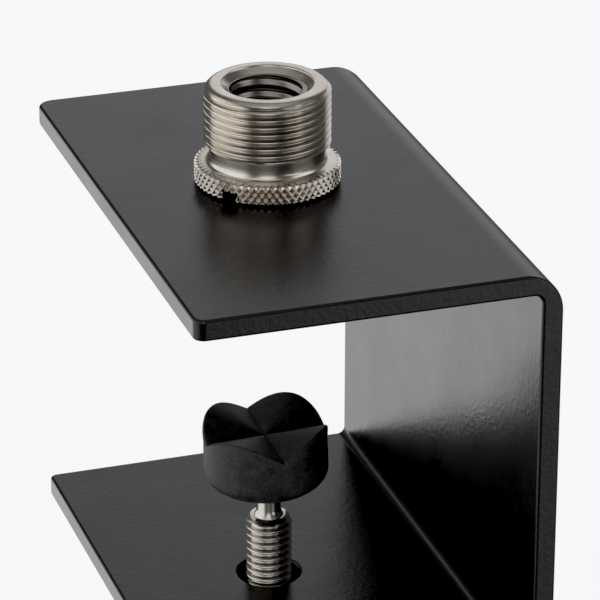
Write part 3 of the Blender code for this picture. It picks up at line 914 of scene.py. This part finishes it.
def hook_route():
    """Corners of the hook's outer face in XZ: down the back plate, out along the shelf, up the lip."""
    low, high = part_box("hook")
    return [
        (low.x, high.z),
        (low.x, low.z),
        (SHELF_END_X, low.z),
        (SHELF_END_X + LIP_LENGTH * math.sin(LIP_TILT), low.z + LIP_LENGTH * math.cos(LIP_TILT)),
    ]


def make_hook():
    """Bent strip that lies on the bracket's back plate."""
    low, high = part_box("hook")
    route = hook_route()
    outer, inner = bent_sheet(route, BEND_RADIUS, 1, HOOK_SHEET)
    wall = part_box("bracket")[1].x
    touching = [(wall if abs(x - low.x) < TINY else x, z) for x, z in outer]
    hook = extruded("hook_strip", touching + inner[::-1], low.y, high.y)
    lip_top = route[-1][1] - HOOK_SHEET
    top = high.z - HOOK_SHEET
    round_corners(hook, Vector((1, 0, 0)), lambda p: p.z > top, HOOK_CORNER)
    round_corners(hook, lip_normal(), lambda p: p.x > SHELF_END_X and p.z > lip_top, HOOK_CORNER)
    soften(hook, ARRIS)
    finish_piece(hook, PAINT, "clamp_frame", ["hook"])


def make_hook_sleeve():
    """Rubber sleeve with soft edges and a row of grip grooves across the shelf."""
    low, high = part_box("hook_sleeve")
    wall = (high.y - low.y - SLEEVE_INSIDE) / 2
    route = hook_route()
    start = (low.x, route[1][1])
    outer, inner = bent_sheet([start, *route[2:]], BEND_RADIUS, 1, HOOK_SHEET, wall)
    shelf_z = inner[0][1]
    grooved = [inner[0]]
    groove_z = shelf_z - GROOVE_DEPTH
    x = inner[0][0] + GROOVE_FIRST
    while x < inner[1][0] - GROOVE_LAST:
        grooved += [(x, shelf_z), (x + GROOVE_WIDTH * 0.25, groove_z)]
        grooved += [(x + GROOVE_WIDTH * 0.75, groove_z), (x + GROOVE_WIDTH, shelf_z)]
        x += GROOVE_PITCH
    outline = outer + inner[:0:-1] + grooved[::-1]
    sleeve = extruded("hook_sleeve_rubber", outline, low.y, high.y)
    lip_top = route[-1][1] - HOOK_SHEET
    corner = HOOK_CORNER + wall
    round_corners(sleeve, lip_normal(), lambda p: p.x > SHELF_END_X and p.z > lip_top, corner)
    soften(sleeve, SLEEVE_ARRIS, 4, 50)
    finish_piece(sleeve, SLEEVE_RUBBER, "clamp_frame", ["hook_sleeve"])


def make_hook_fasteners():
    """Weld stud, washer and nut at each hole; they lie along +X from the back plate."""
    steps = 96
    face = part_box("hook")[0].x + HOOK_SHEET
    lay = Matrix.Rotation(QUARTER, 4, "Y")
    for level in ("upper", "lower"):
        at = middle(f"weld_stud_{level}")
        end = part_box(f"weld_stud_{level}")[1].x - face
        stud_blocks = [
            plain((0, end), (0.0010, end)),
            thread(
                M4_R, M4_PITCH, end, 0.0, steps,
                limit=lambda z: M4_R - 0.0005 + (end - z), rows_per_turn=8,
            ),
            plain((M4_R - 0.0002, -0.0010), (0, -0.0010)),
        ]
        washer_blocks = [
            plain((WASHER_HOLE_R, WASHER), (WASHER_R - 0.0002, WASHER), (WASHER_R, WASHER - 0.00015)),
            plain((WASHER_R, 0.00012), (WASHER_R - 0.0001, 0.0), (WASHER_HOLE_R, 0.0)),
        ]
        nut_low, nut_top = WASHER, WASHER + HOOK_NUT
        nut_blocks = [
            plain((M4_R + 0.0004, nut_top - 0.00005), (M4_R + 0.0006, nut_top)),
            plain(*hex_rows(HOOK_NUT_FLATS, nut_top, nut_low, steps)),
            plain((M4_R + 0.0004, nut_low)),
            thread(
                M4_R + 0.00025, M4_PITCH, nut_top - 0.0002, nut_low + 0.0002, steps,
                inside=True, rows_per_turn=8,
            ),
        ]
        made = {
            "weld_stud": revolve(f"weld_stud_thread_{level}", stud_blocks, steps),
            "hook_washer": revolve(f"washer_ring_{level}", washer_blocks, steps, closed=True),
            "hook_nut": revolve(f"hex_nut_{level}", nut_blocks, steps, closed=True),
        }
        for kind, piece in made.items():
            piece.data.transform(lay @ Matrix.Rotation(NUT_TURNS[level], 4, "Z"))
            where = (face, at.y, at.z)
            finish_piece(piece, ZINC, "clamp_frame", [f"{kind}_{level}"], where)


# ---------------------------------------------------------------- stage


def add_camera():
    """The photo's view: where it stands follows from its direction, distance and target."""
    data = bpy.data.cameras.new("camera")
    data.lens = CAMERA_LENS
    data.sensor_width = CAMERA_SENSOR
    data.clip_start = 0.05
    data.clip_end = 20
    camera = bpy.data.objects.new("camera", data)
    bpy.context.scene.collection.objects.link(camera)
    level = math.cos(CAMERA_ELEVATION)
    back = Vector(
        (math.sin(CAMERA_AZIMUTH) * level, -math.cos(CAMERA_AZIMUTH) * level, math.sin(CAMERA_ELEVATION))
    )
    camera.location = Vector(CAMERA_TARGET) + back * CAMERA_DISTANCE
    camera.rotation_mode = "QUATERNION"
    roll = Quaternion((0, 0, 1), CAMERA_ROLL)
    camera.rotation_quaternion = (-back).to_track_quat("-Z", "Y") @ roll
    bpy.context.scene.camera = camera


def add_floor():
    """Pale floor; gloss on the object reflects the studio around it instead."""
    bpy.ops.mesh.primitive_plane_add(size=FLOOR_SIZE, location=(0, 0, cad_bounds[0].z - FLOOR_DROP))
    floor = bpy.context.object
    floor.name = "floor"
    material = bpy.data.materials.new("floor")
    material.use_nodes = True
    shader = material.node_tree.nodes["Principled BSDF"]
    shader.inputs["Base Color"].default_value = FLOOR_GREY
    shader.inputs["Roughness"].default_value = 0.9
    shader.inputs["Specular IOR Level"].default_value = 0.0
    shader.inputs["Emission Color"].default_value = FLOOR_GLOW
    shader.inputs["Emission Strength"].default_value = FLOOR_STRENGTH
    floor.data.materials.append(material)
    floor.visible_glossy = False


def add_world():
    """Soft studio: a sum of smooth glows, each of which depends on the direction alone."""
    world = bpy.data.worlds.new("studio")
    bpy.context.scene.world = world
    world.use_nodes = True
    tree = world.node_tree
    sky = tree.nodes["Background"]
    place = tree.nodes.new("ShaderNodeTexCoord").outputs["Generated"]
    total = None
    for towards, inner, outer, strength in GLOWS:
        across = tree.nodes.new("ShaderNodeVectorMath")
        across.operation = "DOT_PRODUCT"
        across.inputs[1].default_value = Vector(towards).normalized()
        tree.links.new(place, across.inputs[0])
        glow = tree.nodes.new("ShaderNodeMapRange")
        glow.interpolation_type = "SMOOTHSTEP"
        glow.inputs["From Min"].default_value = math.cos(math.radians(outer))
        glow.inputs["From Max"].default_value = math.cos(math.radians(inner))
        glow.inputs["To Max"].default_value = strength
        tree.links.new(across.outputs["Value"], glow.inputs["Value"])
        add = tree.nodes.new("ShaderNodeMath")
        add.inputs[0].default_value = AMBIENT
        if total is not None:
            tree.links.new(total, add.inputs[0])
        tree.links.new(glow.outputs["Result"], add.inputs[1])
        total = add.outputs["Value"]
    tree.links.new(total, sky.inputs["Strength"])
    sky.inputs["Color"].default_value = SKY_COLOUR


view = bpy.context.scene.view_settings
view.view_transform = "Standard"
view.use_curve_mapping = True
view.curve_mapping.black_level = (BLACK_POINT, BLACK_POINT, BLACK_POINT)
add_camera()
for build in (
    make_bracket, make_jaw_pad, make_threaded_stud, make_weld_nut, make_adapter, make_clamp_screw,
    make_pressure_pad, make_knob, make_knob_cap, make_hook, make_hook_sleeve, make_hook_fasteners,
):
    build()
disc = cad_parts["thrust_disc"]
disc.data.materials.clear()
disc.data.materials.append(ZINC)
add_floor()
add_world()
